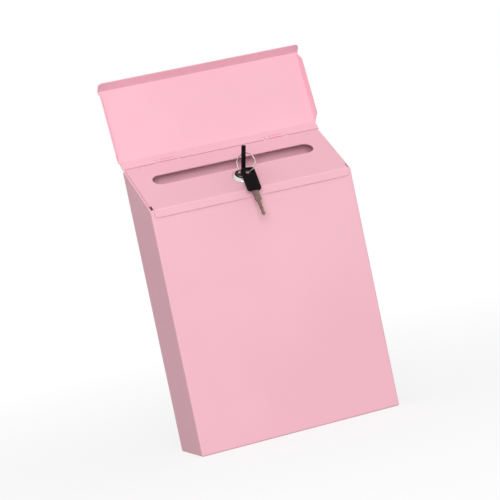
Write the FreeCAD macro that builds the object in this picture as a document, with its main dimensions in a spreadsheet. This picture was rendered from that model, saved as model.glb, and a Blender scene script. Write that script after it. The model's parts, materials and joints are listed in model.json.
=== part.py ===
import FreeCAD, Part
import math
import os
import Sketcher

# Wall mailbox in folded, powder-coated sheet steel. The shared frame has its origin in the
# middle of the four wall holes, on the wall plane: +X to the right, -Y out of the wall, +Z up.
# All sizes are millimetres and degrees. The pose is the open one: rain lid folded back,
# inner door shut, key in the lock and the spare key hanging from it.

SIZES = [
    ("box_width", 215.0),         # outside width of the box
    ("box_depth", 68.0),          # wall plane to outside of the front wall
    ("base_drop", 150.0),         # wall-hole middle down to the underside of the box
    ("thickness", 1.0),           # sheet thickness of box, door and lid
    ("bend_radius", 1.5),         # outside radius of the box folds
    ("deck_slope", 33.2),         # fall of the inner door towards the front
    ("axis_height", 292.4),       # hinge axis above the underside of the box
    ("axis_back", 1.4),           # hinge axis in front of the wall plane
    ("rear_drop", 3.6),           # corner cut of the side walls, down the wall plane
    ("rear_cut", 2.2),            # corner cut of the side walls, along the depth
    ("side_rim", 10.0),           # width of the rims folded in from the side walls
    ("front_rim", 9.0),           # width of the rim folded in from the front wall
    ("tab_width", 21.0),          # rear corner tabs, across the box
    ("tab_front", 9.0),           # rear corner tabs, front edge from the wall plane
    ("tab_back", 1.8),            # rear corner tabs, rear edge from the wall plane
    ("cam_pass", 68.0),           # width of the front rim's shallow middle, where the cam swings past
    ("cam_pass_rim", 2.0),        # width of the front rim along that middle
    ("corner_width", 2.8),        # open corner between side rim and front rim, across
    ("corner_length", 7.0),       # open corner between side rim and front rim, along the depth
    ("corner_edge", 1.5),         # open corner from the outside of the walls
    ("back_drop", 2.9),           # top of the back panel below the hinge axis
    ("hole_pitch_x", 150.0),      # wall holes, sideways spacing
    ("hole_pitch_z", 190.0),      # wall holes, upright spacing
    ("wall_hole", 5.5),           # wall hole diameter
    ("door_gap", 0.6),            # door underside above the rims
    ("door_inset", 1.6),          # door side edge in from the outside of the box
    ("door_rear", 2.7),           # door rear edge in front of the hinge axis
    ("door_bend", 2.0),           # outside radius of the door's front fold
    ("lip_gap", 0.5),             # air between the door lip and the front wall
    ("lip_drop", 8.1),            # height of the door lip
    ("lip_round", 3.5),           # rounding of the lip's lower corners
    ("relief_width", 1.9),        # door front corner notch, across
    ("relief_length", 8.0),       # door front corner notch, along the slope
    ("dot_radius", 0.65),         # small relief holes at the door's rear corners
    ("dot_place", 91.9),          # relief hole from the middle of the door
    ("dot_along", 4.4),           # relief holes in front of the door's rear edge
    ("slot_length", 174.0),       # mail slot, end to end
    ("slot_height", 18.0),        # mail slot, along the slope
    ("slot_place", 32.4),         # hinge axis to the middle of the slot, along the slope
    ("lid_width", 218.0),         # outside width of the lid's panel
    ("strip_inset", 1.25),        # lid's rear strip in from each side of the panel
    ("flange_over", 1.25),        # lid's front flange beyond each side of the panel
    ("lid_open", 134.6),          # opening angle of the lid in this pose
    ("lid_tail", 1.2),            # lid strip behind the hinge axis
    ("lid_strip", 9.2),           # lid strip in front of the hinge axis
    ("lid_panel", 75.8),          # lid panel between its two folds
    ("lid_front", 10.5),          # front flange of the lid
    ("lid_round", 4.0),           # rounding of the front flange corners
    ("lid_bend", 2.0),            # outside radius of the lid folds
    ("lid_edge", 0.8),            # outside radius along the lid's side folds
    ("ear_depth", 6.7),           # side flanges of the lid
    ("ear_tilt", 18.0),           # side flanges leaning outwards
    ("ear_start", 1.5),           # side flange, rear end on the panel
    ("ear_heel", 6.0),            # side flange, run of the rear slant
    ("ear_toe", 7.0),             # side flange, run of the front slant
    ("ear_stop", 74.0),           # side flange, front end on the panel
    ("ear_tip", 1.0),             # side flange depth at the front end
    ("hinge_place", 59.5),        # hinge middle from the middle of the box
    ("hinge_length", 24.0),       # hinge length
    ("hinge_slack", 0.3),         # end play between two knuckles
    ("leaf_thickness", 0.6),      # hinge leaf thickness
    ("leaf_drop", 14.0),          # box leaf, lower end below the axis
    ("leaf_reach", 11.0),         # door leaf, front end from the axis
    ("leaf_cover", 8.6),          # lid leaf, front end from the axis
    ("knuckle_radius", 1.3),      # outside radius of the hinge knuckles
    ("pin_radius", 0.65),         # hinge pin radius
    ("pin_fit", 0.05),            # radial running fit on the pins and in the lock
    ("pin_over", 0.4),            # pin end beyond the outer knuckles
    ("lock_place", 58.0),         # hinge axis to the lock axis, along the slope
    ("lock_face", 11.8),          # lock face radius
    ("face_rim", 1.2),            # cylindrical rim of the lock face
    ("face_height", 3.4),         # height of the lock face
    ("face_slant", 2.6),          # run of the slant around the lock face
    ("face_edge", 0.5),           # flat broken off each corner of the slant
    ("barrel_radius", 8.9),       # lock barrel radius
    ("barrel_length", 20.8),      # lock barrel below the door's top side
    ("barrel_fit", 0.15),         # barrel in the door hole, radial
    ("nut_flats", 22.0),          # lock nut across the flats
    ("nut_height", 4.0),          # lock nut height
    ("plug_radius", 5.5),         # lock plug radius
    ("plug_sink", 0.5),           # plug face below the lock face
    ("plug_over", 0.4),           # plug end below the barrel
    ("stub_side", 6.0),           # square stub that carries the cam
    ("cam_thickness", 2.0),       # cam thickness
    ("cam_hub", 8.0),             # cam hub radius
    ("cam_width", 11.0),          # cam arm width
    ("cam_reach", 17.8),          # cam tip from the lock axis
    ("cam_turn_angle", -22.3),    # cam turned from the key
    ("washer_radius", 5.0),       # cam washer radius
    ("washer_thickness", 0.8),    # cam washer thickness
    ("screw_radius", 3.6),        # cam screw head radius
    ("screw_height", 2.2),        # cam screw head height
    ("screw_slot", 0.9),          # cam screw slot width
    ("screw_stem", 1.5),          # cam screw stem radius
    ("strike_width", 15.0),       # strike width
    ("strike_side", 4.5),         # right end of the strike from the middle of the box
    ("strike_thickness", 1.5),    # strike thickness
    ("strike_reach", 70.0),       # strike lip end from the hinge axis, along the slope
    ("strike_gap", 0.6),          # locked cam below the strike
    ("strike_foot", 16.0),        # strike foot on the front wall
    ("key_turn_angle", -22.7),    # key turned about the lock axis in this pose
    ("key_rise", 33.4),           # top of the key in the lock above the door
    ("head_length", 25.5),        # key head length
    ("head_width", 15.0),         # key head width
    ("head_thickness", 4.4),      # key head thickness
    ("head_round", 2.6),          # key head corner rounding
    ("head_soft", 0.6),           # flat broken off the key head edges
    ("hole_length", 9.0),         # round-ended hole in the key head, across
    ("hole_height", 5.6),         # round-ended hole in the key head, along
    ("hole_place", 4.6),          # hole middle from the end of the key head
    ("head_socket", 8.0),         # blade length inside the key head
    ("blade_thickness", 2.0),     # key blade thickness
    ("blade_width", 6.5),         # wide part of the blade
    ("blade_wide", 12.5),         # length of the wide part
    ("blade_thin", 3.6),          # narrow part of the blade
    ("blade_narrow", 15.5),       # length of the narrow part
    ("blade_point", 2.0),         # pointed end of the blade
    ("key_slack", 0.12),          # keyway beside and below the blade
    ("ring_radius", 9.4),         # key ring, wire centre line
    ("ring_wire", 0.5),           # key ring wire radius
    ("ring_offset", 0.4),         # half the offset of the two turns of wire
    ("ring_view_angle", -36.0),   # ring turned about the upright
    ("ring_tilt", 5.6),           # ring bottom swung out from under its top
    ("ring_roll_angle", 6.2),     # ring bottom swung sideways in its own plane
    ("seat_across", -2.56),       # wire from the hole middle in the key head, across
    ("seat_along", 0.0),          # wire from the hole middle in the key head, along
    ("spare_across", 0.8),        # wire from the hole middle in the spare head, across
    ("spare_along", 0.4),         # wire from the hole middle in the spare head, along
    ("spare_tilt", 26.0),         # spare key lean out from the upright
    ("spare_turn_angle", -75.8),  # spare key turned about its own length
]

size = dict(SIZES)
doc = FreeCAD.newDocument("wall_mailbox")
sheet = doc.addObject("Spreadsheet::Sheet", "dim")
for row, (alias, value) in enumerate(SIZES, start=1):
    sheet.set("A%d" % row, alias)
    sheet.set("B%d" % row, str(value))
    sheet.setAlias("B%d" % row, alias)
doc.recompute()

pieces = []
COS = "cos(dim.deck_slope * 1 deg)"
SIN = "sin(dim.deck_slope * 1 deg)"
TAN = "tan(dim.deck_slope * 1 deg)"
slope = math.radians(size["deck_slope"])


# Small drawing helpers


def new_piece(name, placement):
    """A body named after its node, placed in the shared frame."""
    body = doc.addObject("PartDesign::Body", name)
    body.Label = name
    body.setExpression("Placement", placement)
    doc.recompute()
    pieces.append(body)
    return body


def draw(body, plane, outline=(), circles=(), lift="0", tilt=None):
    """A fully dimensioned sketch, one closed outline, circles or both, lifted off its plane or tilted."""
    sketch = body.newObject("Sketcher::SketchObject", "sketch")
    origin_plane = [item for item in body.Origin.OriginFeatures if item.Role == plane][0]
    sketch.AttachmentSupport = [(origin_plane, "")]
    sketch.MapMode = "FlatFace"
    if tilt:
        sketch.setExpression("AttachmentOffset", tilt)
    else:
        sketch.setExpression("AttachmentOffset.Base.z", lift)
    count = len(outline)
    start = [FreeCAD.Vector(40 * math.cos(2 * math.pi * i / count), 40 * math.sin(2 * math.pi * i / count), 0)
             for i in range(count)]
    for i in range(count):
        sketch.addGeometry(Part.LineSegment(start[i], start[(i + 1) % count]), False)
    for i in range(count):
        sketch.addConstraint(Sketcher.Constraint("Coincident", i, 2, (i + 1) % count, 1))
    for i, (across, along) in enumerate(outline):
        dimension(sketch, "DistanceX", i, 1, across)
        dimension(sketch, "DistanceY", i, 1, along)
    for k, (across, along, radius) in enumerate(circles):
        centre = FreeCAD.Vector(3 * k, 2, 0)
        index = sketch.addGeometry(Part.Circle(centre, FreeCAD.Vector(0, 0, 1), 1), False)
        dimension(sketch, "DistanceX", index, 3, across)
        dimension(sketch, "DistanceY", index, 3, along)
        row = sketch.addConstraint(Sketcher.Constraint("Radius", index, 1.0))
        sketch.setExpression("Constraints[%d]" % row, radius)
    doc.recompute()
    return sketch


def dimension(sketch, kind, index, end, expression):
    """Signed distance of one sketch point from the sketch origin."""
    row = sketch.addConstraint(Sketcher.Constraint(kind, -1, 1, index, end, 1.0))
    sketch.setExpression("Constraints[%d]" % row, expression)


def feature(body, kind, sketch, length, both_ways=False, backwards=False):
    """Pad or Pocket of a sketch."""
    step = body.newObject("PartDesign::" + kind, kind.lower())
    step.Profile = sketch
    step.setExpression("Length", length)
    step.Midplane = both_ways
    step.Reversed = backwards
    doc.recompute()
    return step


def spin(body, sketch):
    """Full turn of a sketch about its upright axis."""
    step = body.newObject("PartDesign::Revolution", "spin")
    step.Profile = sketch
    step.ReferenceAxis = (sketch, ["V_Axis"])
    step.Angle = 360
    doc.recompute()
    return step


def round_edges(body, radius, wanted):
    """Fillet on every edge of the body so far that passes the test."""
    base = body.Tip
    names = ["Edge%d" % (i + 1) for i, edge in enumerate(base.Shape.Edges) if wanted(edge)]
    step = body.newObject("PartDesign::Fillet", "round")
    step.Base = (base, names)
    step.setExpression("Radius", radius)
    doc.recompute()
    return step


def break_edges(body, run, wanted):
    """Chamfer on every edge of the body so far that passes the test."""
    base = body.Tip
    names = ["Edge%d" % (i + 1) for i, edge in enumerate(base.Shape.Edges) if wanted(edge)]
    step = body.newObject("PartDesign::Chamfer", "break")
    step.Base = (base, names)
    step.setExpression("Size", run)
    doc.recompute()
    return step


def points_of(edge):
    """Both ends and the middle of an edge, in the body's own coordinates."""
    middle = edge.valueAt((edge.FirstParameter + edge.LastParameter) / 2)
    return [vertex.Point for vertex in edge.Vertexes] + [middle]


def near(one, other, slack=0.02):
    return abs(one - other) < slack


def block(left, right, low, high):
    """Corner list of an upright rectangle."""
    return [(left, low), (right, low), (right, high), (left, high)]


# Frames that the pieces are placed in

WORLD_BOX = "placement(vector(0; 0; -dim.base_drop); rotation(vector(1; 0; 0); 0))"
AXIS = "vector(0; -dim.axis_back; dim.axis_height - dim.base_drop)"
AT_AXIS = "placement(" + AXIS + "; rotation(vector(1; 0; 0); 0))"
AT_DOOR = "placement(" + AXIS + "; rotation(vector(1; 0; 0); dim.deck_slope))"
AT_LID = "placement(" + AXIS + "; rotation(vector(1; 0; 0); -dim.lid_open))"
AT_LOCK = AT_DOOR + " * placement(vector(0; -dim.lock_place; 0); rotation(vector(1; 0; 0); 0))"
KEY_TURN = "rotation(vector(0; 0; 1); dim.key_turn_angle)"
AT_KEY = AT_DOOR + " * placement(vector(0; -dim.lock_place; 0); " + KEY_TURN + ")"
AT_CAM = AT_KEY + " * placement(vector(0; 0; 0); rotation(vector(0; 0; 1); dim.cam_turn_angle))"


def rim_top(y):
    """Height of the rims' top side above the underside of the box, at depth y."""
    return ("(dim.axis_height + ((%s) + dim.axis_back) * %s - (dim.thickness + dim.door_gap) / %s)"
            % (y, TAN, COS))


def rim_top_value(y):
    return (size["axis_height"] + (y + size["axis_back"]) * math.tan(slope)
            - (size["thickness"] + size["door_gap"]) / math.cos(slope))


# Box: front wall, side walls and floor folded from one blank, with rims folded in at the top


def build_body_shell():
    body = new_piece("body_shell", WORLD_BOX)
    front = "-dim.box_depth"
    outline = [
        ("0", "0"),
        ("0", rim_top("0") + " - dim.rear_drop"),
        ("-dim.rear_cut", rim_top("-dim.rear_cut")),
        (front, rim_top(front)),
        (front, "0"),
    ]
    feature(body, "Pad", draw(body, "YZ_Plane", outline), "dim.box_width", both_ways=True)
    inner = "-dim.box_depth + dim.thickness"
    tab_end = "-dim.tab_back"
    above = rim_top("0") + " + 20"
    hollow = [
        ("5", "dim.thickness"),
        ("5", above),
        (tab_end, above),
        (tab_end, rim_top(tab_end) + " - dim.thickness / " + COS),
        (inner, rim_top(inner) + " - dim.thickness / " + COS),
        (inner, "dim.thickness"),
    ]
    inner_width = "dim.box_width - 2 * dim.thickness"
    feature(body, "Pocket", draw(body, "YZ_Plane", hollow), inner_width, both_ways=True)
    side = "(dim.box_width / 2 - dim.side_rim)"
    tab = "(dim.box_width / 2 - dim.tab_width)"
    rim_front = "-dim.box_depth + dim.front_rim"
    pass_front = "-dim.box_depth + dim.cam_pass_rim"
    mouth = [
        ("-" + side, rim_front), ("-dim.cam_pass / 2", rim_front),
        ("-dim.cam_pass / 2", pass_front), ("dim.cam_pass / 2", pass_front),
        ("dim.cam_pass / 2", rim_front), (side, rim_front),
        (side, "-dim.tab_front"), (tab, "-dim.tab_front"),
        (tab, "5"), ("-" + tab, "5"),
        ("-" + tab, "-dim.tab_front"), ("-" + side, "-dim.tab_front"),
    ]
    over = draw(body, "XY_Plane", mouth, lift="dim.axis_height + 10")
    feature(body, "Pocket", over, "dim.box_depth * " + TAN + " + 30")
    half = size["box_width"] / 2

    def is_fold(edge):
        spots = points_of(edge)
        sides = [
            all(near(abs(p.x), half) for p in spots),
            all(near(p.y, -size["box_depth"]) for p in spots),
            all(near(p.z, 0) for p in spots),
            all(near(p.z, rim_top_value(p.y)) for p in spots),
        ]
        return sum(sides) == 2

    round_edges(body, "dim.bend_radius", is_fold)

    for way in ("", "-"):
        outside = way + "(dim.box_width / 2 - dim.corner_edge)"
        inside = way + "(dim.box_width / 2 - dim.corner_edge - dim.corner_width)"
        front_end = "-dim.box_depth + dim.corner_edge"
        corner = block(inside, outside, front_end, front_end + " + dim.corner_length")
        over = draw(body, "XY_Plane", corner, lift="dim.axis_height")
        feature(body, "Pocket", over, "dim.box_depth * " + TAN + " + 20")


def build_back_panel():
    body = new_piece("back_panel", WORLD_BOX)
    edge = "(dim.box_width / 2 - dim.thickness)"
    top = "dim.axis_height - dim.back_drop"
    holes = []
    for across in ("-dim.hole_pitch_x / 2", "dim.hole_pitch_x / 2"):
        for up in ("dim.base_drop - dim.hole_pitch_z / 2", "dim.base_drop + dim.hole_pitch_z / 2"):
            holes.append((across, up, "dim.wall_hole / 2"))
    sketch = draw(body, "XZ_Plane", block("-" + edge, edge, "dim.thickness", top), holes)
    feature(body, "Pad", sketch, "dim.thickness")


# Strike: bent lip on the inside of the front wall that the turned cam hooks under


def build_lock_strike():
    body = new_piece("lock_strike", AT_AXIS)
    cam_top = "(-dim.barrel_length - dim.plug_over)"
    under = "(" + cam_top + " + dim.strike_gap)"
    over = "(" + under + " + dim.strike_thickness)"
    wall = "(dim.thickness + dim.axis_back - dim.box_depth)"
    leg = "(" + wall + " + dim.strike_thickness)"
    foot = leg + " * " + TAN + " + " + under + " / " + COS + " - dim.strike_foot"

    def on_slope(lift):
        return ("-dim.strike_reach * %s - %s * %s" % (COS, lift, SIN),
                "-dim.strike_reach * %s + %s * %s" % (SIN, lift, COS))

    outline = [
        on_slope(under),
        (leg, leg + " * " + TAN + " + " + under + " / " + COS),
        (leg, foot),
        (wall, foot),
        (wall, wall + " * " + TAN + " + " + over + " / " + COS),
        on_slope(over),
    ]
    sketch = draw(body, "YZ_Plane", outline, lift="dim.strike_side - dim.strike_width")
    feature(body, "Pad", sketch, "dim.strike_width")


# Inner door: sloped plate with the mail slot, the lock hole and a lip over the front wall


def build_inner_door():
    body = new_piece("inner_door", AT_DOOR)
    nose = "((dim.box_depth + dim.lip_gap + dim.thickness - dim.axis_back) / " + COS + ")"
    outline = [
        ("-dim.door_rear", "0"),
        ("-" + nose, "0"),
        ("-" + nose + " - dim.lip_drop * " + SIN, "-dim.lip_drop * " + COS),
        ("-" + nose + " - dim.lip_drop * " + SIN + " + dim.thickness * " + COS,
         "-dim.lip_drop * " + COS + " - dim.thickness * " + SIN),
        ("-" + nose + " + dim.thickness * (" + COS + " - (1 - " + SIN + ") / " + COS + " * " + SIN + ")",
         "-dim.thickness"),
        ("-dim.door_rear", "-dim.thickness"),
    ]
    door_width = "dim.box_width - 2 * dim.door_inset"
    feature(body, "Pad", draw(body, "YZ_Plane", outline), door_width, both_ways=True)
    nose_at = (size["box_depth"] + size["lip_gap"] + size["thickness"] - size["axis_back"]) / math.cos(slope)
    inner_at = (nose_at - size["thickness"] * math.cos(slope)
                + size["thickness"] * (1 - math.sin(slope)) * math.tan(slope))

    def runs_across(edge, y, z):
        return all(near(p.y, y) and near(p.z, z) for p in points_of(edge))

    round_edges(body, "dim.door_bend", lambda edge: runs_across(edge, -nose_at, 0))
    inner_bend = "dim.door_bend - dim.thickness"
    round_edges(body, inner_bend, lambda edge: runs_across(edge, -inner_at, -size["thickness"]))

    half = "(dim.box_width / 2 - dim.door_inset)"
    for side in ("", "-"):
        inside = side + "(" + half + " - dim.relief_width)"
        outside = side + "(" + half + " + 5)"
        relief = block(inside, outside, "-" + nose + " - 20", "-" + nose + " + dim.relief_length")
        feature(body, "Pocket", draw(body, "XY_Plane", relief, lift="5"), "30")
        for across in ("dim.dot_place", half):
            dot = [(side + across, "-dim.door_rear - dim.dot_along", "dim.dot_radius")]
            feature(body, "Pocket", draw(body, "XY_Plane", (), dot, lift="5"), "10")
    end = "((dim.slot_length - dim.slot_height) / 2)"
    low = "-dim.slot_place - dim.slot_height / 2"
    high = "-dim.slot_place + dim.slot_height / 2"
    feature(body, "Pocket", draw(body, "XY_Plane", block("-" + end, end, low, high), lift="5"), "10")
    for side in ("", "-"):
        round_end = [(side + end, "-dim.slot_place", "dim.slot_height / 2")]
        feature(body, "Pocket", draw(body, "XY_Plane", (), round_end, lift="5"), "10")
    hole = [("0", "-dim.lock_place", "dim.barrel_radius + dim.barrel_fit")]
    feature(body, "Pocket", draw(body, "XY_Plane", (), hole, lift="5"), "10")

    lip_half = size["box_width"] / 2 - size["door_inset"] - size["relief_width"]
    lip_low = -size["lip_drop"] * math.cos(slope)

    def is_lip_corner(edge):
        return all(near(abs(p.x), lip_half) and p.z < lip_low + 0.05 for p in points_of(edge))

    round_edges(body, "dim.lip_round", is_lip_corner)


# Rain lid: rear strip on the hinges, sloped panel, front flange and two side flanges


def build_lid():
    body = new_piece("lid", AT_LID)
    fold_y = "(-dim.lid_strip - dim.lid_panel * " + COS + ")"
    fold_z = "(-dim.lid_panel * " + SIN + ")"
    outline = [
        ("dim.lid_tail", "0"),
        ("-dim.lid_strip", "0"),
        (fold_y, fold_z),
        (fold_y, fold_z + " - dim.lid_front"),
        (fold_y + " - dim.thickness", fold_z + " - dim.lid_front"),
        (fold_y + " - dim.thickness",
         fold_z + " + dim.thickness * (" + COS + " - " + SIN + " * (1 - " + SIN + ") / " + COS + ")"),
        ("-dim.lid_strip - dim.thickness * tan(dim.deck_slope / 2 * 1 deg)", "dim.thickness"),
        ("dim.lid_tail", "dim.thickness"),
    ]
    full_width = "dim.lid_width + 2 * dim.flange_over"
    feature(body, "Pad", draw(body, "YZ_Plane", outline), full_width, both_ways=True)

    fold_at = -size["lid_strip"] - size["lid_panel"] * math.cos(slope)
    drop_at = -size["lid_panel"] * math.sin(slope)
    rise = size["thickness"] * (math.cos(slope) - math.sin(slope) * (1 - math.sin(slope)) / math.cos(slope))

    def runs_across(edge, y, z):
        return all(near(p.y, y) and near(p.z, z) for p in points_of(edge))

    outer_strip = -size["lid_strip"] - size["thickness"] * math.tan(slope / 2)
    outer_folds = ((fold_at - size["thickness"], drop_at + rise), (outer_strip, size["thickness"]))
    inner_folds = ((fold_at, drop_at), (-size["lid_strip"], 0))
    for radius, folds in (("dim.lid_bend", outer_folds), ("dim.lid_bend - dim.thickness", inner_folds)):
        round_edges(body, radius, lambda edge: any(runs_across(edge, y, z) for y, z in folds))
    flange_half = size["lid_width"] / 2 + size["flange_over"]
    flange_low = drop_at - size["lid_front"]

    def is_flange_corner(edge):
        return all(near(abs(p.x), flange_half) and near(p.z, flange_low) for p in points_of(edge))

    round_edges(body, "dim.lid_round", is_flange_corner)

    for side in ("", "-"):
        outside = side + "(dim.lid_width / 2 + dim.flange_over + 5)"
        for inset, front_end in (("0", fold_y + " + dim.lid_bend"), ("dim.strip_inset", "-dim.lid_strip")):
            trim = block(side + "(dim.lid_width / 2 - " + inset + ")", outside, front_end, "5")
            feature(body, "Pocket", draw(body, "XY_Plane", trim, lift="5"), "dim.lid_panel + 10")

    def on_panel(run, depth):
        return ("-(%s) * %s + (%s) * %s" % (run, COS, depth, SIN),
                "-(%s) * %s - (%s) * %s" % (run, SIN, depth, COS))

    ear = [
        on_panel("dim.ear_start", "-dim.thickness / 2"),
        on_panel("dim.ear_start", "0.5"),
        on_panel("dim.ear_start + dim.ear_heel", "dim.ear_depth"),
        on_panel("dim.ear_stop - dim.ear_toe", "dim.ear_depth"),
        on_panel("dim.ear_stop", "dim.ear_tip"),
        on_panel("dim.ear_stop", "-dim.thickness / 2"),
    ]
    along_fold = "vector(" + COS + "; " + SIN + "; 0)"
    for side, flare in (("", "-dim.ear_tilt"), ("-", "dim.ear_tilt")):
        root = side + "(dim.lid_width / 2 - dim.thickness)"
        tilt = "placement(vector(-dim.lid_strip; 0; %s); rotation(%s; %s))" % (root, along_fold, flare)
        feature(body, "Pad", draw(body, "YZ_Plane", ear, tilt=tilt), "dim.thickness", backwards=side == "-")
    half = size["lid_width"] / 2

    def on_outer_panel(p):
        height = -(-size["lid_strip"] - p.y) * math.tan(slope) + size["thickness"] / math.cos(slope)
        return near(abs(p.x), half) and near(p.z, height) and p.y < -size["lid_strip"]

    def is_side_fold(edge):
        return edge.Length > 20 and all(on_outer_panel(p) for p in points_of(edge))

    round_edges(body, "dim.lid_edge", is_side_fold)

    for side in ("-", ""):
        middle = side + "dim.hinge_place"
        left = middle + " - dim.hinge_length / 2 - dim.pin_over - 2 * dim.hinge_slack"
        right = middle + " + dim.hinge_length / 2 + dim.pin_over + 2 * dim.hinge_slack"
        gap = block(left, right, "-dim.knuckle_radius - 2 * dim.hinge_slack", "5")
        feature(body, "Pocket", draw(body, "XY_Plane", gap, lift="5"), "10")


# Hinges: three leaves turn on each pin, one on the box, one on the door and one on the lid


def build_leaf(name, place, turn, plate, neck, knuckles, bore):
    body = new_piece(name, "placement(vector(%s; -dim.axis_back; dim.axis_height - dim.base_drop); "
                     "rotation(vector(1; 0; 0); %s))" % (place, turn))
    feature(body, "Pad", draw(body, "YZ_Plane", plate), "dim.hinge_length", both_ways=True)
    step = "(dim.hinge_length / 5)"
    for number in knuckles:
        lift = "%d * %s - (%s - dim.hinge_slack) / 2" % (number, step, step)
        length = step + " - dim.hinge_slack"
        feature(body, "Pad", draw(body, "YZ_Plane", neck, lift=lift), length)
        disc = draw(body, "YZ_Plane", (), [("0", "0", "dim.knuckle_radius")], lift=lift)
        feature(body, "Pad", disc, length)
    hole = draw(body, "YZ_Plane", (), [("0", "0", bore)])
    feature(body, "Pocket", hole, "2 * dim.hinge_length", both_ways=True)


def build_hinges():
    clear = "(dim.knuckle_radius + 3 * dim.hinge_slack)"
    inside = "(dim.axis_back - dim.thickness)"
    running = "dim.pin_radius + dim.pin_fit"
    for word, place in (("left", "-dim.hinge_place"), ("right", "dim.hinge_place")):
        low = "-(" + clear + " + dim.leaf_thickness)"
        box_plate = block(inside + " - dim.leaf_thickness", inside, "-dim.leaf_drop", low)
        box_neck = block(inside + " - dim.leaf_thickness", inside, low + " - dim.leaf_thickness", "0")
        build_leaf("hinge_%s_box_leaf" % word, place, "0", box_plate, box_neck, (0,), "dim.pin_radius")
        under = "(-dim.thickness - dim.leaf_thickness)"
        door_plate = block("-dim.leaf_reach", "-" + clear, under, "-dim.thickness")
        door_neck = block("-" + clear + " - dim.leaf_thickness", "0", under, "-dim.thickness")
        build_leaf("hinge_%s_door_leaf" % word, place, "dim.deck_slope", door_plate, door_neck, (-1, 1),
                   running)
        lid_plate = block("-dim.leaf_cover", "-" + clear, "-dim.leaf_thickness", "0")
        lid_neck = block("-" + clear + " - dim.leaf_thickness", "0", "-dim.leaf_thickness", "0")
        build_leaf("hinge_%s_lid_leaf" % word, place, "-dim.lid_open", lid_plate, lid_neck, (-2, 2), running)
        pin = new_piece("hinge_%s_pin" % word,
                        "placement(vector(%s; -dim.axis_back; dim.axis_height - dim.base_drop); "
                        "rotation(vector(1; 0; 0); 0))" % place)
        disc = draw(pin, "YZ_Plane", (), [("0", "0", "dim.pin_radius")])
        feature(pin, "Pad", disc, "dim.hinge_length + 2 * dim.pin_over", both_ways=True)


# Cam lock: housing and nut on the door, plug with cam, washer and screw turning inside


def build_lock():
    housing = new_piece("lock_housing", AT_LOCK)
    bore = "dim.plug_radius + dim.pin_fit"
    profile = [
        (bore, "-dim.barrel_length"),
        ("dim.barrel_radius", "-dim.barrel_length"),
        ("dim.barrel_radius", "0"),
        ("dim.lock_face", "0"),
        ("dim.lock_face", "dim.face_rim - dim.face_edge"),
        ("dim.lock_face - dim.face_edge", "dim.face_rim + dim.face_edge"),
        ("dim.lock_face - dim.face_slant + dim.face_edge", "dim.face_height - dim.face_edge"),
        ("dim.lock_face - dim.face_slant - dim.face_edge", "dim.face_height"),
        (bore, "dim.face_height"),
    ]
    spin(housing, draw(housing, "XZ_Plane", profile))

    nut = new_piece("lock_nut", AT_LOCK)
    corner = "dim.nut_flats / 2 / cos(30 deg)"
    hexagon = [(corner + " * cos(%d deg)" % angle, corner + " * sin(%d deg)" % angle)
               for angle in range(0, 360, 60)]
    sketch = draw(nut, "XY_Plane", hexagon, [("0", "0", "dim.barrel_radius")], lift="-dim.thickness")
    feature(nut, "Pad", sketch, "dim.nut_height", backwards=True)

    plug = new_piece("lock_plug", AT_KEY)
    top = "(dim.face_height - dim.plug_sink)"
    bottom = "(-dim.barrel_length - dim.plug_over)"
    disc = draw(plug, "XY_Plane", (), [("0", "0", "dim.plug_radius")], lift=top)
    feature(plug, "Pad", disc, top + " - " + bottom, backwards=True)
    side = "dim.stub_side / 2"
    corner = "dim.stub_side / sqrt(2) * %s((dim.cam_turn_angle + %d) * 1 deg)"
    square = [(corner % ("cos", angle), corner % ("sin", angle)) for angle in (45, 135, 225, 315)]
    stub = draw(plug, "XY_Plane", square, lift=bottom)
    feature(plug, "Pad", stub, "dim.cam_thickness", backwards=True)
    thick = "dim.blade_thickness / 2"
    wide = "(dim.blade_width / 2 + dim.key_slack)"
    mouth = draw(plug, "XY_Plane", block("-" + thick, thick, "-" + wide, wide), lift=top)
    blade_end = "(dim.key_rise - dim.head_length - dim.blade_wide - dim.blade_narrow)"
    depth = top + " - " + blade_end + " + 2 * dim.key_slack"
    feature(plug, "Pocket", mouth, depth)
    end = bottom + " - dim.cam_thickness"
    bore = draw(plug, "XY_Plane", (), [("0", "0", "dim.screw_stem")], lift=end)
    feature(plug, "Pocket", bore, "dim.cam_thickness", backwards=True)

    cam = new_piece("lock_cam", AT_CAM)
    hub = draw(cam, "XY_Plane", (), [("0", "0", "dim.cam_hub")], lift=bottom)
    feature(cam, "Pad", hub, "dim.cam_thickness", backwards=True)
    arm = block("0", "dim.cam_reach", "-dim.cam_width / 2", "dim.cam_width / 2")
    feature(cam, "Pad", draw(cam, "XY_Plane", arm, lift=bottom), "dim.cam_thickness", backwards=True)
    square = block("-" + side, side, "-" + side, side)
    feature(cam, "Pocket", draw(cam, "XY_Plane", square, lift=bottom), "2 * dim.cam_thickness")
    round_edges(cam, "dim.cam_width / 3",
                lambda edge: all(near(p.x, size["cam_reach"]) and near(abs(p.y), size["cam_width"] / 2)
                                 for p in points_of(edge)))

    washer = new_piece("cam_washer", AT_CAM)
    ring = [("0", "0", "dim.washer_radius"), ("0", "0", "dim.screw_stem")]
    disc = draw(washer, "XY_Plane", (), ring, lift=end)
    feature(washer, "Pad", disc, "dim.washer_thickness", backwards=True)

    screw = new_piece("cam_screw", AT_CAM)
    seat = "(" + end + " - dim.washer_thickness)"
    head = draw(screw, "XY_Plane", (), [("0", "0", "dim.screw_radius")], lift=seat)
    feature(screw, "Pad", head, "dim.screw_height", backwards=True)
    stem = draw(screw, "XY_Plane", (), [("0", "0", "dim.screw_stem")], lift=seat)
    feature(screw, "Pad", stem, "dim.washer_thickness + dim.cam_thickness")
    far = "(dim.screw_radius + 1)"
    groove = block("-" + far, far, "-dim.screw_slot / 2", "dim.screw_slot / 2")
    cut = draw(screw, "XY_Plane", groove, lift=seat + " - dim.screw_height")
    feature(screw, "Pocket", cut, "dim.screw_height / 2", backwards=True)


# Keys: steel blade with a black moulded head; one in the lock, one hanging on the ring


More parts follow.
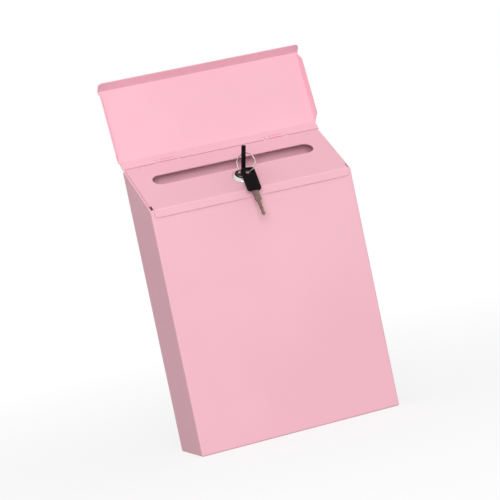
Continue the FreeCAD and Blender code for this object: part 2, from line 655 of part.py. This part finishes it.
def build_key(name, placement):
    blade = new_piece(name + "_blade", placement)
    low = "(dim.key_rise - dim.head_length)"
    wide_end = "(" + low + " - dim.blade_wide)"
    tip = "(" + wide_end + " - dim.blade_narrow)"
    half = "dim.blade_width / 2"
    thin = "dim.blade_thin / 2"
    outline = [
        ("-" + half, low + " + dim.head_socket"),
        ("-" + half, wide_end + " + dim.blade_point"),
        ("-" + thin, wide_end),
        ("-" + thin, tip + " + dim.blade_point"),
        ("0", tip),
        (thin, tip + " + dim.blade_point"),
        (thin, wide_end),
        (half, wide_end + " + dim.blade_point"),
        (half, low + " + dim.head_socket"),
    ]
    feature(blade, "Pad", draw(blade, "YZ_Plane", outline), "dim.blade_thickness", both_ways=True)

    head = new_piece(name + "_head", placement)
    side = "dim.head_width / 2"
    sketch = draw(head, "YZ_Plane", block("-" + side, side, low, "dim.key_rise"))
    feature(head, "Pad", sketch, "dim.head_thickness", both_ways=True)
    ends = (size["key_rise"], size["key_rise"] - size["head_length"])

    def is_corner(edge):
        return all(near(abs(p.y), size["head_width"] / 2) and any(near(p.z, end) for end in ends)
                   for p in points_of(edge))

    round_edges(head, "dim.head_round", is_corner)
    thick = size["head_thickness"] / 2
    break_edges(head, "dim.head_soft", lambda edge: all(near(abs(p.x), thick) for p in points_of(edge)))
    end = "((dim.hole_length - dim.hole_height) / 2)"
    middle = "(dim.key_rise - dim.hole_place)"
    slot = block("-" + end, end, middle + " - dim.hole_height / 2", middle + " + dim.hole_height / 2")
    feature(head, "Pocket", draw(head, "YZ_Plane", slot), "2 * dim.head_thickness", both_ways=True)
    for way in ("", "-"):
        round_end = [(way + end, middle, "dim.hole_height / 2")]
        rounded = draw(head, "YZ_Plane", (), round_end)
        feature(head, "Pocket", rounded, "2 * dim.head_thickness", both_ways=True)
    socket = block("-dim.blade_thickness / 2", "dim.blade_thickness / 2", "-" + half, half)
    feature(head, "Pocket", draw(head, "XY_Plane", socket, lift=low), "dim.head_socket", backwards=True)


def build_keys():
    build_key("key", AT_KEY)
    hang = ("placement(vector(0; dim.seat_across; dim.key_rise - dim.hole_place + dim.seat_along); "
            "rotation(vector(0; 0; 1); -dim.key_turn_angle) * rotation(vector(1; 0; 0); -dim.deck_slope))")
    ring_turn = ("rotation(vector(0; 0; 1); dim.ring_view_angle) * "
                 "rotation(vector(1; 0; 0); 90 - dim.ring_tilt) * "
                 "rotation(vector(0; 0; 1); dim.ring_roll_angle)")
    at_ring_top = AT_KEY + " * " + hang + " * placement(vector(0; 0; 0); " + ring_turn + ")"
    still = "rotation(vector(1; 0; 0); 0)"

    to_middle = " * placement(vector(0; -dim.ring_radius; 0); " + still + ")"
    ring = new_piece("split_ring", at_ring_top + to_middle)
    far = "dim.ring_wire * cos(22.5 deg)"
    close = "dim.ring_wire * sin(22.5 deg)"
    groove = "sqrt(dim.ring_wire ^ 2 - dim.ring_offset ^ 2)"
    half_section = [
        (groove, "0"),
        (far, "dim.ring_offset - " + close),
        (far, "dim.ring_offset + " + close),
        (close, "dim.ring_offset + " + far),
    ]
    upper = half_section + [("-" + across, along) for across, along in reversed(half_section)]
    lower = [(across, "-(" + along + ")") for across, along in reversed(upper[1:-1])]
    section = [("dim.ring_radius + (" + across + ")", along) for across, along in upper + lower]
    spin(ring, draw(ring, "XZ_Plane", section))

    unturn = ("placement(vector(0; -2 * dim.ring_radius; 0); "
              "rotation(vector(0; 0; 1); -dim.ring_roll_angle) * "
              "rotation(vector(1; 0; 0); dim.ring_tilt - 90) * "
              "rotation(vector(0; 0; 1); -dim.ring_view_angle))")
    lean = ("placement(vector(0; 0; 0); rotation(vector(1; 0; 0); -dim.spare_tilt) * "
            "rotation(vector(0; 0; 1); dim.spare_turn_angle))")
    hook = ("placement(vector(0; -dim.spare_across; dim.hole_place - dim.key_rise - dim.spare_along); "
            + still + ")")
    build_key("spare_key", at_ring_top + " * " + unturn + " * " + lean + " * " + hook)


build_body_shell()
build_back_panel()
build_lock_strike()
build_inner_door()
build_lid()
build_hinges()
build_lock()
build_keys()
doc.recompute()

for item in doc.Objects:
    if "Invalid" in item.State or "Error" in item.State:
        raise RuntimeError("recompute failed: " + item.Name + " " + item.Label)
os.makedirs("parts", exist_ok=True)
for piece in pieces:
    if piece.Shape.isNull() or not piece.Shape.isValid() or len(piece.Shape.Solids) != 1:
        raise RuntimeError("bad shape: " + piece.Label)
    piece.Shape.exportStep("parts/" + piece.Label + ".step")
    box = piece.Shape.BoundBox
    print("%-24s %9.1f mm3  %7.2f %7.2f %7.2f  %7.2f %7.2f %7.2f" % (
        piece.Label, piece.Shape.Volume, box.XMin, box.YMin, box.ZMin, box.XMax, box.YMax, box.ZMax))
print(len(pieces), "pieces")
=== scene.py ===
# %% [markdown]
# A wall mailbox in pink powder-coated sheet steel, shown open: the rain lid is folded back, the
# sloped inner door is shut, a key stands in the lock and a spare key hangs from it on a ring.
# The shapes come from the CAD frame. This script gives every piece its finish, makes the small
# pieces again with finer edges, lights the box softly and puts the camera where the photograph was
# taken from.

import json
import math

import bmesh
import bpy
import numpy as np
from mathutils import Matrix, Vector


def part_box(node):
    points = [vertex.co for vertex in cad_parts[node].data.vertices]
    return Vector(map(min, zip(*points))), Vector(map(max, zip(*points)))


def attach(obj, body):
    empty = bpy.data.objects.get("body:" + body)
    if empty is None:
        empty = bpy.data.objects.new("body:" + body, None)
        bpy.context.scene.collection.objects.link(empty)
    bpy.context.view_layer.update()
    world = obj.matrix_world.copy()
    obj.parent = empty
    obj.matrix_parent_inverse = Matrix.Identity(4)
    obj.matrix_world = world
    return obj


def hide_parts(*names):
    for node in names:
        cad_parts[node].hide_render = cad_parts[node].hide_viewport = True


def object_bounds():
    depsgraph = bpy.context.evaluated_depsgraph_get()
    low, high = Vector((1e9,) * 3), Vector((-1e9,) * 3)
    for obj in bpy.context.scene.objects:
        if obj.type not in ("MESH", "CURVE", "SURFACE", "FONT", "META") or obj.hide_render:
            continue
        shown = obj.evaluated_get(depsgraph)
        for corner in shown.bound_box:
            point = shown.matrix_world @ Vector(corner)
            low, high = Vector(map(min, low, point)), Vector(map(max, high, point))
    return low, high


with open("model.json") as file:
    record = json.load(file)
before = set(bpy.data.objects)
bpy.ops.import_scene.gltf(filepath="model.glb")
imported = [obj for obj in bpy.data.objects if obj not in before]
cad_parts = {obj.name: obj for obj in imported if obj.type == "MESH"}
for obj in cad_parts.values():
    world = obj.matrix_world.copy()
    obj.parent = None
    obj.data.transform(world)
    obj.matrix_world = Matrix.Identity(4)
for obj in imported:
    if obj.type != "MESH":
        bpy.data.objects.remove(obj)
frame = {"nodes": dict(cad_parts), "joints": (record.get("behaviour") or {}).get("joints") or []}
cad_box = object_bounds()
nodes = frame["nodes"]
MM = 0.001
print("nodes:", len(nodes), "box:", [[round(value, 4) for value in corner] for corner in cad_box])

# %% [markdown]
# The camera. A long lens far away shows the box with little perspective. It stands to the left
# and a little above, and it is rolled, so the box leans in the picture. The three angles and the
# distance were found by matching the straight folds of the box, which are the longest clean lines.

# %% Camera
PICTURE = 500                    # picture width in pixels
FOCAL = 2103                     # focal length in pixels
SENSOR = 36                      # sensor width in millimetres
SIGHT = 50                       # how far the camera sees, in metres
CAMERA_AT = Vector((-0.676, -2.043, 0.171))
TURN = math.radians(-18.50)      # left of straight ahead
RISE = math.radians(3.64)        # above level
ROLL = math.radians(-11.86)      # camera rolled about its own axis

level = Vector((math.cos(TURN), math.sin(TURN), 0))
back = Vector((math.sin(TURN) * math.cos(RISE), -math.cos(TURN) * math.cos(RISE), math.sin(RISE)))
upright = back.cross(level)
across = level * math.cos(ROLL) + upright * math.sin(ROLL)
above = back.cross(across)

lens = bpy.data.cameras.new("photo_camera")
lens.sensor_width = SENSOR
lens.lens = SENSOR * FOCAL / PICTURE
lens.clip_end = SIGHT
camera = bpy.data.objects.new("photo_camera", lens)
camera.matrix_world = Matrix((across, above, back)).transposed().to_4x4()
camera.matrix_world.translation = CAMERA_AT
bpy.context.scene.collection.objects.link(camera)
bpy.context.scene.camera = camera
print("lens: %.1f mm, %.2f m from the box" % (lens.lens, CAMERA_AT.length))

# %% [markdown]
# Shader maths in Python. A node tree is hard to read as calls, so a small class wraps one output
# socket and lets it be added, multiplied and subtracted like a number. Each operation leaves one
# Math node behind. Any other node comes from the `node` method of the finish it belongs to.

# %% Socket wrapper


class Value:
    """An output socket that arithmetic works on."""

    def __init__(self, nodes_of, socket):
        self.nodes_of = nodes_of
        self.socket = socket

    def maths(self, operation, first, second):
        return self.nodes_of.node("ShaderNodeMath", {"operation": operation}, {0: first, 1: second})

    def most(self, other):
        return self.maths("MAXIMUM", self, other)

    def __add__(self, other):
        return self.maths("ADD", self, other)

    def __radd__(self, other):
        return self.maths("ADD", other, self)

    def __sub__(self, other):
        return self.maths("SUBTRACT", self, other)

    def __rsub__(self, other):
        return self.maths("SUBTRACT", other, self)

    def __mul__(self, other):
        return self.maths("MULTIPLY", self, other)

    def __rmul__(self, other):
        return self.maths("MULTIPLY", other, self)


class Nodes:
    """A node tree that makes, sets and links its nodes."""

    def __init__(self, tree):
        self.tree = tree

    def node(self, kind, settings=None, sockets=None, output=0):
        made = self.tree.nodes.new(kind)
        for key, value in (settings or {}).items():
            if key == "stops":
                self.set_stops(made.color_ramp, value)
            else:
                setattr(made, key, value)
        for key, value in (sockets or {}).items():
            self.feed(made.inputs[key], value)
        return Value(self, made.outputs[output])

    def set_stops(self, ramp, stops):
        while len(ramp.elements) < len(stops):
            ramp.elements.new(0.5)
        for element, (position, shade) in zip(ramp.elements, stops):
            element.position = position
            element.color = (shade, shade, shade, 1)

    def feed(self, socket, value):
        if isinstance(value, Value):
            self.tree.links.new(value.socket, socket)
        else:
            socket.default_value = value


class Finish(Nodes):
    """A material with one Principled shader and the nodes that feed it."""

    def __init__(self, name, **constants):
        self.material = bpy.data.materials.new(name)
        self.material.use_nodes = True
        super().__init__(self.material.node_tree)
        self.shader = self.tree.nodes["Principled BSDF"]
        self.set(**constants)
        self.place = self.node("ShaderNodeTexCoord", output="Object")

    def stretched(self, x, y, z):
        """Object coordinates, scaled by a different amount along each axis."""
        return self.node("ShaderNodeMapping", {}, {"Vector": self.place, "Scale": (x, y, z)})

    def noise(self, scale, detail=3.0, rough=0.5, where=None):
        return self.node("ShaderNodeTexNoise", {}, {"Vector": where or self.place, "Scale": scale,
                                                   "Detail": detail, "Roughness": rough})

    def ramp(self, value, *stops):
        return self.node("ShaderNodeValToRGB", {"stops": stops}, {"Fac": value})

    def blend(self, factor, one, other):
        return self.node("ShaderNodeMix", {"data_type": "RGBA"}, {0: factor, 6: one, 7: other}, output=2)

    def bump(self, height, strength, distance):
        return self.node("ShaderNodeBump", {}, {"Height": height, "Strength": strength,
                                                "Distance": distance})

    def set(self, **sockets):
        for socket, value in sockets.items():
            title = socket.replace("_", " ").title().replace("Ior", "IOR")
            self.feed(self.shader.inputs[title], value)
        return self.material


def colour(red, green, blue):
    return (red, green, blue, 1)


# %% [markdown]
# Powder coat is sprayed as dry powder and melted in an oven. It flows into a smooth satin skin
# with a faint orange-peel ripple about a millimetre across, and is a touch uneven in shade over a
# hand's width. A wide noise shades the colour and a fine one makes the ripple, which goes only into
# the bump. A still finer one varies the gloss. Noise scales are in cells per metre.

# %% Pink powder coat
CLOUD = 9.0
RIPPLE = 900.0
SPECK = 2600.0
PEEL_HEIGHT = 0.06 * MM


def powder_coat(name, main, shade, peel):
    finish = Finish(name, metallic=0.0, specular_ior_level=0.22, coat_roughness=0.35)
    cloud = finish.noise(CLOUD, 2.0)
    ripple = finish.noise(RIPPLE, 2.0)
    speck = finish.noise(SPECK, 1.0)
    tone = finish.blend(finish.ramp(cloud, (0.35, 0.0), (0.68, 1.0)), shade, main)
    return finish.set(
        base_color=tone,
        roughness=0.46 + cloud * 0.08 + speck * 0.06,
        coat_weight=0.02 + cloud * 0.04,
        normal=finish.bump(ripple + speck * 0.3, peel, PEEL_HEIGHT),
    )


def dress(name, material):
    """Gives a CAD piece its finish."""
    slots = nodes[name].data.materials
    slots.clear()
    slots.append(material)


pink_coat = powder_coat("pink_powder_coat", colour(0.93, 0.515, 0.600), colour(0.90, 0.490, 0.575), 0.25)
hinge_coat = powder_coat("hinge_powder_coat", colour(0.92, 0.510, 0.595), colour(0.88, 0.475, 0.560), 0.4)
sheets = ("body_shell", "back_panel", "inner_door", "lid")
hinges = [name for name in nodes if name.startswith("hinge_")]
for name in sheets:
    dress(name, pink_coat)
for name in hinges:
    dress(name, hinge_coat)
print("painted pieces:", len(sheets) + len(hinges))

# %% [markdown]
# The lock is die-cast and chromed. Polished chrome is nearly a mirror, but handling leaves fine
# hairlines. Its small inner parts are zinc plated, which is duller and slightly blotchy.
# The same two patterns, with other colours and strengths, make the nickel of the keys and the ring; the
# keys' dark reddish brown is painted shade and painted reflection.

# %% Metals
BLOTCH = 160.0
HAIRLINE = 60.0
HAIR_STRETCH = (40, 2, 40)       # hairlines run along y
SCRATCH_HEIGHT = 0.03 * MM


def plated(name, main, dull, rough, scratch):
    finish = Finish(name, metallic=1.0)
    blotch = finish.noise(BLOTCH, 3.0)
    hair = finish.noise(HAIRLINE, 4.0, 0.7, finish.stretched(*HAIR_STRETCH))
    tone = finish.blend(finish.ramp(blotch, (0.3, 0.0), (0.7, 1.0)), dull, main)
    return finish.set(
        base_color=tone,
        roughness=rough + hair * scratch + blotch * scratch * 0.6,
        normal=finish.bump(hair, scratch, SCRATCH_HEIGHT),
    )


chrome = plated("lock_chrome", colour(0.80, 0.785, 0.785), colour(0.68, 0.66, 0.665), 0.05, 0.10)
zinc = plated("zinc_plate", colour(0.66, 0.67, 0.68), colour(0.50, 0.50, 0.50), 0.28, 0.25)
# The key colour is nickel that has been darkened and reddened with painted shade and painted reflection.
# It is not the metal's own tone.
key_nickel_painted_shade = plated("key_nickel_painted_dark", colour(0.29, 0.215, 0.180), colour(0.20, 0.135, 0.115), 0.28, 0.22)
ring_steel = plated("ring_nickel", colour(0.50, 0.46, 0.43), colour(0.36, 0.32, 0.30), 0.20, 0.15)
METALS = {
    "lock_housing": chrome, "lock_plug": chrome,
    "lock_nut": zinc, "lock_cam": zinc, "cam_washer": zinc, "cam_screw": zinc, "lock_strike": zinc,
    "key_blade": key_nickel_painted_shade, "spare_key_blade": key_nickel_painted_shade,
    "split_ring": ring_steel,
}
for name, metal in METALS.items():
    dress(name, metal)
print("metal pieces:", len(METALS))

# %% [markdown]
# The key heads are black moulded plastic with a fine spark-eroded grain, rubbed a little smoother
# in patches where fingers hold them.

# %% Black key plastic
GRAIN = 3200.0
RUBBED = 170.0
GRAIN_HEIGHT = 0.05 * MM
HEADS = {"key_head": "plug", "spare_key_head": "spare_key"}   # each head and its body
plastic = Finish("key_plastic", metallic=0.0, specular_ior_level=0.06)
grain = plastic.noise(GRAIN, 2.0)
rubbed = plastic.noise(RUBBED, 3.0)
black_plastic = plastic.set(
    base_color=plastic.blend(rubbed, colour(0.0050, 0.0030, 0.0035), colour(0.0080, 0.0050, 0.0060)),
    roughness=0.42 + rubbed * 0.16,
    normal=plastic.bump(grain, 0.35, GRAIN_HEIGHT),
)
for name in HEADS:
    dress(name, black_plastic)
print("plastic pieces:", len(HEADS))

# %% [markdown]
# Small pieces that a hand would feel. The CAD solids have the right form but knife-sharp edges, and
# a sharp edge never catches the light. A copy of such a solid is merged back into whole faces and
# every edge sharper than a chosen angle gets a small round bevel. The copy then stands for the CAD
# piece, on the same body and with the same finish.

# %% Rounded copies
SHARP = math.radians(25)         # edges turned more than this are rounded
FLAT = math.radians(0.5)         # faces turned less than this are joined
WELD = 0.002 * MM


def whole_faces(name):
    """A CAD piece as a clean mesh: its loose triangles welded and joined to flat faces."""
    mesh = bmesh.new()
    mesh.from_mesh(nodes[name].data)
    bmesh.ops.remove_doubles(mesh, verts=mesh.verts, dist=WELD)
    bmesh.ops.dissolve_limit(mesh, angle_limit=FLAT, verts=mesh.verts, edges=mesh.edges)
    return mesh


def round_off(mesh, radius, segments=3):
    sharp = [edge for edge in mesh.edges if edge.is_manifold and edge.calc_face_angle() > SHARP]
    bmesh.ops.bevel(mesh, geom=sharp, offset=radius, affect="EDGES", segments=segments, profile=0.5,
                    material=-1, clamp_overlap=True)


def add_piece(mesh, name, body, material, node=None):
    """A finished piece that rides a body; where a CAD node is named, the piece stands for it."""
    data = bpy.data.meshes.new(name)
    mesh.to_mesh(data)
    open_edges = sum(not edge.is_manifold for edge in mesh.edges)
    mesh.free()
    data.shade_smooth()
    data.set_sharp_from_angle(angle=SHARP)
    data.materials.append(material)
    piece = bpy.data.objects.new(name, data)
    bpy.context.scene.collection.objects.link(piece)
    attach(piece, body)
    if node:
        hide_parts(node)
    print("%s: %d faces, %d open edges" % (name, len(data.polygons), open_edges))


HEAD_ROUND = 0.3 * MM
for node, body in HEADS.items():
    head = whole_faces(node)
    round_off(head, HEAD_ROUND)
    add_piece(head, node + "_moulded", body, black_plastic, node)

FACE_ROUND = 0.2 * MM
for node, body in (("lock_housing", "door"), ("lock_plug", "plug")):
    turned = whole_faces(node)
    round_off(turned, FACE_ROUND)
    add_piece(turned, node + "_polished", body, chrome, node)

# %% [markdown]
# The key blades. A flat key is stamped from sheet, milled with a shallow recess along both faces and
# cut with small notches along both edges of its narrow part. The blade is turned into its own frame
# first, where it lies straight: x is its thickness, y its width and z its length, tip downwards.
# There flat cuts cross it at an even pitch, and the points on every second cut are pushed inwards,
# which leaves a row of V-shaped notches.

# %% Key blades
RECESS_EDGE = 1.15 * MM
RECESS_DEPTH = 0.4 * MM
HALF_NARROW = 1.8 * MM           # half the width of the narrow part
NOTCH_PITCH = 1.1 * MM
NOTCH_REACH = 0.3 * MM           # how far in from the edge points still belong to a notch
NOTCH_DEPTHS = (0.50, 0.25, 0.60, 0.35)   # millimetres, repeated along the blade
EDGE_ROUND = 0.1 * MM
CLOSE = 0.01 * MM                # points this near count as being on a line
FACING = 0.99                    # how squarely a face points along an axis
BLADES = (("key_blade", "key_head", "plug"), ("spare_key_blade", "spare_key_head", "spare_key"))


def own_frame(mesh, head):
    """Matrix from a blade's own frame to the shared one, found from how far its points spread."""
    points = np.array([vertex.co for vertex in mesh.verts])
    middle = points.mean(axis=0)
    spread = np.linalg.svd(points - middle)[2]
    long = Vector(spread[0])
    thin = Vector(spread[2])
    low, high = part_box(head)
    if long.dot((low + high) / 2 - Vector(middle)) < 0:
        long = -long
    wide = long.cross(thin)
    matrix = Matrix((thin, wide, long)).transposed().to_4x4()
    matrix.translation = Vector(middle)
    return matrix


def mill_recess(mesh):
    flats = [face for face in mesh.faces if abs(face.normal.x) > FACING]
    bmesh.ops.inset_region(mesh, faces=flats, thickness=RECESS_EDGE, depth=-RECESS_DEPTH,
                           use_even_offset=True, use_boundary=True)


def cut_notches(mesh):
    """Notches along both edges of the narrow part; returns how many rows of them there are."""
    narrow = [vertex.co.z for vertex in mesh.verts if abs(abs(vertex.co.y) - HALF_NARROW) < CLOSE]
    low = min(narrow)
    count = int((max(narrow) - low) / NOTCH_PITCH)
    for row in range(1, count):
        height = low + row * NOTCH_PITCH
        everything = mesh.verts[:] + mesh.edges[:] + mesh.faces[:]
        bmesh.ops.bisect_plane(mesh, geom=everything, dist=CLOSE / 10, plane_co=(0, 0, height),
                               plane_no=(0, 0, 1))
        if row % 2 == 0:
            continue
        depth = NOTCH_DEPTHS[row // 2 % len(NOTCH_DEPTHS)] * MM
        for vertex in mesh.verts:
            if abs(vertex.co.z - height) < CLOSE and abs(vertex.co.y) > HALF_NARROW - NOTCH_REACH:
                vertex.co.y -= math.copysign(depth, vertex.co.y)
    return count // 2


for node, head, body in BLADES:
    blade = whole_faces(node)
    place = own_frame(blade, head)
    bmesh.ops.transform(blade, matrix=place.inverted(), verts=blade.verts)
    mill_recess(blade)
    print(node, "notch rows:", cut_notches(blade))
    round_off(blade, EDGE_ROUND, 2)
    bmesh.ops.transform(blade, matrix=place, verts=blade.verts)
    add_piece(blade, node + "_milled", body, key_nickel_painted_shade, node)

# %% [markdown]
# The split ring is springy wire wound twice round. The first turn lies on one side, a short slanted
# stretch steps over, and the second turn lies on the other side; each wire end butts against that
# step. One small circle is spun about the ring's axis in those three goes. The ring's middle and
# axis come from its two joints: it hangs from the one and carries the spare key at the other.

# %% Split ring
WIRE = 0.42 * MM                 # wire radius
TURN_LIFT = 0.44 * MM            # half the distance between the two turns
STEP_OVER = math.radians(32)     # angle that the step takes up
WIRE_START = math.radians(100)   # where the wire begins, from the ring's top
WIRE_SIDES = 12
joints = {joint["name"]: joint for joint in frame["joints"]}
ring_top = Vector(joints["ring_swing"]["pos_m"])
ring_low = Vector(joints["spare_key_swing"]["pos_m"])
swing_axis = Vector(joints["ring_swing"]["axis"])
ring_axis = swing_axis.cross(ring_top - ring_low).normalized()
ring_middle = (ring_top + ring_low) / 2
outward = Matrix.Rotation(WIRE_START, 3, ring_axis) @ (ring_top - ring_middle)
away = outward.normalized()

wire_start = Matrix((away, ring_axis, away.cross(ring_axis))).transposed().to_4x4()
wire_start.translation = ring_middle + outward - ring_axis * TURN_LIFT
coil = bmesh.new()
bmesh.ops.create_circle(coil, cap_ends=False, radius=WIRE, segments=WIRE_SIDES, matrix=wire_start)
wire_end = coil.edges[:]
flat_turn = (2 * math.pi - STEP_OVER, 0, 72)       # angle, rise and number of steps
step_over = (STEP_OVER, 2 * TURN_LIFT, 10)
for angle, rise, steps in (flat_turn, step_over, flat_turn):
    spun = bmesh.ops.spin(coil, geom=wire_end, cent=ring_middle, axis=ring_axis,
                          dvec=ring_axis * rise / steps, angle=angle, steps=steps,
                          use_merge=False, use_duplicate=False)
    wire_end = [part for part in spun["geom_last"] if isinstance(part, bmesh.types.BMEdge)]
bmesh.ops.holes_fill(coil, edges=[edge for edge in coil.edges if edge.is_boundary], sides=0)
bmesh.ops.recalc_face_normals(coil, faces=coil.faces)
add_piece(coil, "split_ring_coil", "ring", ring_steel, "split_ring")

# %% [markdown]
# The top of the back panel. Seen from above, a slit of daylight would show along the hinge, between
# the lid and the panel. A bar as thick as the panel raises its top edge and narrows that slit. Its
# top slants down to the rear, because the lid swings through there when the door is lifted with the
# lid still open.

# %% Back panel hem
HEM_HEIGHT = 0.95 * MM           # at the front
HEM_SLANT = 0.83 * MM            # how much lower the top is at the rear
HEM_ROUND = 0.15 * MM
panel_low, panel_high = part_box("back_panel")
hem_size = Vector((panel_high.x - panel_low.x, panel_high.y - panel_low.y, HEM_HEIGHT))
hem_middle = (panel_low + panel_high) / 2
hem_middle.z = panel_high.z + HEM_HEIGHT / 2
hem = bmesh.new()
bmesh.ops.create_cube(hem, size=1.0)
bmesh.ops.scale(hem, vec=hem_size, verts=hem.verts)
bmesh.ops.translate(hem, vec=hem_middle, verts=hem.verts)
top = [vertex for vertex in hem.verts if vertex.co.z > hem_middle.z]
front_top = [vertex for vertex in top if vertex.co.y < hem_middle.y]
for vertex in top:
    if vertex not in front_top:
        vertex.co.z -= HEM_SLANT
front_edge = [edge for edge in hem.edges if all(vertex in front_top for vertex in edge.verts)]
bmesh.ops.bevel(hem, geom=front_edge, offset=HEM_ROUND, affect="EDGES", segments=3, profile=0.5,
                material=-1)
add_piece(hem, "back_panel_hem", "box", pink_coat)
print("hem from z = %.4f to %.4f m" % (panel_high.z, panel_high.z + HEM_HEIGHT))

# %% [markdown]
# The stage. The photograph has a pure white ground. A white floor under studio light renders light
# grey, so the camera, and the metal that mirrors it, also see a white glow mixed into the paper.
# Close to the box the paper shows through that glow and keeps the soft shadow; further out it fades
# to plain white and meets the white sky with no line between them.

# %% Floor
FLOOR_SIZE = 4.0                 # half its width, in metres
floor_mesh = bmesh.new()
bmesh.ops.create_grid(floor_mesh, x_segments=1, y_segments=1, size=FLOOR_SIZE)
bmesh.ops.translate(floor_mesh, verts=floor_mesh.verts, vec=(0, 0, cad_box[0][2]))
floor_data = bpy.data.meshes.new("floor")
floor_mesh.to_mesh(floor_data)
floor_mesh.free()
floor = bpy.data.objects.new("floor", floor_data)
bpy.context.scene.collection.objects.link(floor)


def seen_directly(tree):
    """1 for camera, mirror and glass rays, 0 for the rays that light the box."""
    rays = [tree.node("ShaderNodeLightPath", output="Is %s Ray" % kind)
            for kind in ("Camera", "Glossy", "Transmission")]
    return rays[0].most(rays[1]).most(rays[2])


SHADOW_SHARE = 0.25              # how much of the lit paper shows through the glow beside the box
FADE_START = 0.15                # distances from the origin, in metres
FADE_END = 0.9
PAPER_GRAIN = 30.0
paper = Finish("floor_paper", roughness=0.9)
grey_paper = paper.blend(paper.noise(PAPER_GRAIN), colour(0.28, 0.28, 0.28), colour(0.32, 0.32, 0.32))
white_paper = paper.blend(paper.noise(PAPER_GRAIN), colour(0.93, 0.93, 0.93), colour(0.97, 0.97, 0.97))
paper.set(base_color=paper.blend(seen_directly(paper), grey_paper, white_paper))
distance = paper.node("ShaderNodeVectorMath", {"operation": "LENGTH"}, {0: paper.place}, output="Value")
beside_box = paper.ramp(distance, (FADE_START, 1.0), (FADE_END, 0.0))
white_glow = paper.node("ShaderNodeEmission", {}, {"Color": colour(1, 1, 1), "Strength": 1.0})
shown = paper.node("ShaderNodeMixShader", {}, {
    0: seen_directly(paper) * (1 - beside_box * SHADOW_SHARE),
    1: Value(paper, paper.shader.outputs[0]),
    2: white_glow,
})
paper.feed(paper.tree.nodes["Material Output"].inputs["Surface"], shown)
floor_data.materials.append(paper.material)
print("floor at z = %.3f m" % cad_box[0][2])

# %% [markdown]
# The sky is white wherever it is looked at, and gives the box a weaker, even light from all round,
# which is what keeps the shadows soft and the inside of the mail slot readable.

# %% Sky
SKY_LIGHT = 0.53
world = bpy.data.worlds.new("studio")
bpy.context.scene.world = world
world.use_nodes = True
sky = Nodes(world.node_tree)
ambient = sky.node("ShaderNodeBackground", {}, {"Color": colour(1, 1, 1), "Strength": SKY_LIGHT})
white_sky = sky.node("ShaderNodeBackground", {}, {"Color": colour(1, 1, 1), "Strength": 1.0})
either = sky.node("ShaderNodeMixShader", {}, {0: seen_directly(sky), 1: ambient, 2: white_sky})
sky.feed(sky.tree.nodes["World Output"].inputs["Surface"], either)
print("sky light:", SKY_LIGHT)

# %% [markdown]
# One large soft lamp. It stands in front, to the left and above the camera: the front, the door and
# the inside of the lid face it, and the left side takes it at a slant and falls into a half-tone.

# %% Lamp
LAMP_SIZE = 1.7
LAMP_POWER = 68
LAMP_AT = Vector((-0.98, -3.03, 0.86))
LAMP_TARGET = Vector((0, 0, 0.03))
lamp_data = bpy.data.lights.new("main_lamp", "AREA")
lamp_data.shape = "DISK"
lamp_data.size = LAMP_SIZE
lamp_data.energy = LAMP_POWER
lamp = bpy.data.objects.new("main_lamp", lamp_data)
lamp.location = LAMP_AT
lamp.rotation_euler = (LAMP_TARGET - LAMP_AT).to_track_quat("-Z", "Y").to_euler()
bpy.context.scene.collection.objects.link(lamp)
print("lamp: %d W at %.2f m" % (LAMP_POWER, (LAMP_TARGET - LAMP_AT).length))

# %% [markdown]
# Chrome shows only what surrounds it. In an all-white room it would look like white paint, so a
# dark card hangs above the box where the lock's face mirrors it. Only mirror rays see the card.

# %% Dark card for the chrome
CARD_AT = Vector((0.21, 0.16, 0.70))
CARD_SIZE = 0.28                 # half its width, in metres
FELT_GRAIN = 40.0
card_mesh = bmesh.new()
bmesh.ops.create_grid(card_mesh, x_segments=1, y_segments=1, size=CARD_SIZE)
bmesh.ops.translate(card_mesh, verts=card_mesh.verts, vec=CARD_AT)
card_data = bpy.data.meshes.new("dark_card")
card_mesh.to_mesh(card_data)
card_mesh.free()
card = bpy.data.objects.new("dark_card", card_data)
bpy.context.scene.collection.objects.link(card)
felt = Finish("card_felt", roughness=0.9)
felt.set(base_color=felt.blend(felt.noise(FELT_GRAIN), colour(0.05, 0.05, 0.05), colour(0.09, 0.09, 0.09)))
card_data.materials.append(felt.material)
card.visible_camera = False
card.visible_diffuse = False
card.visible_transmission = False
card.visible_shadow = False
print("dark card: %.2f m wide" % (2 * CARD_SIZE))

# %% [markdown]
# The view transform is Standard, so the colours show as they are written.

# %% Finish
bpy.context.scene.view_settings.view_transform = "Standard"
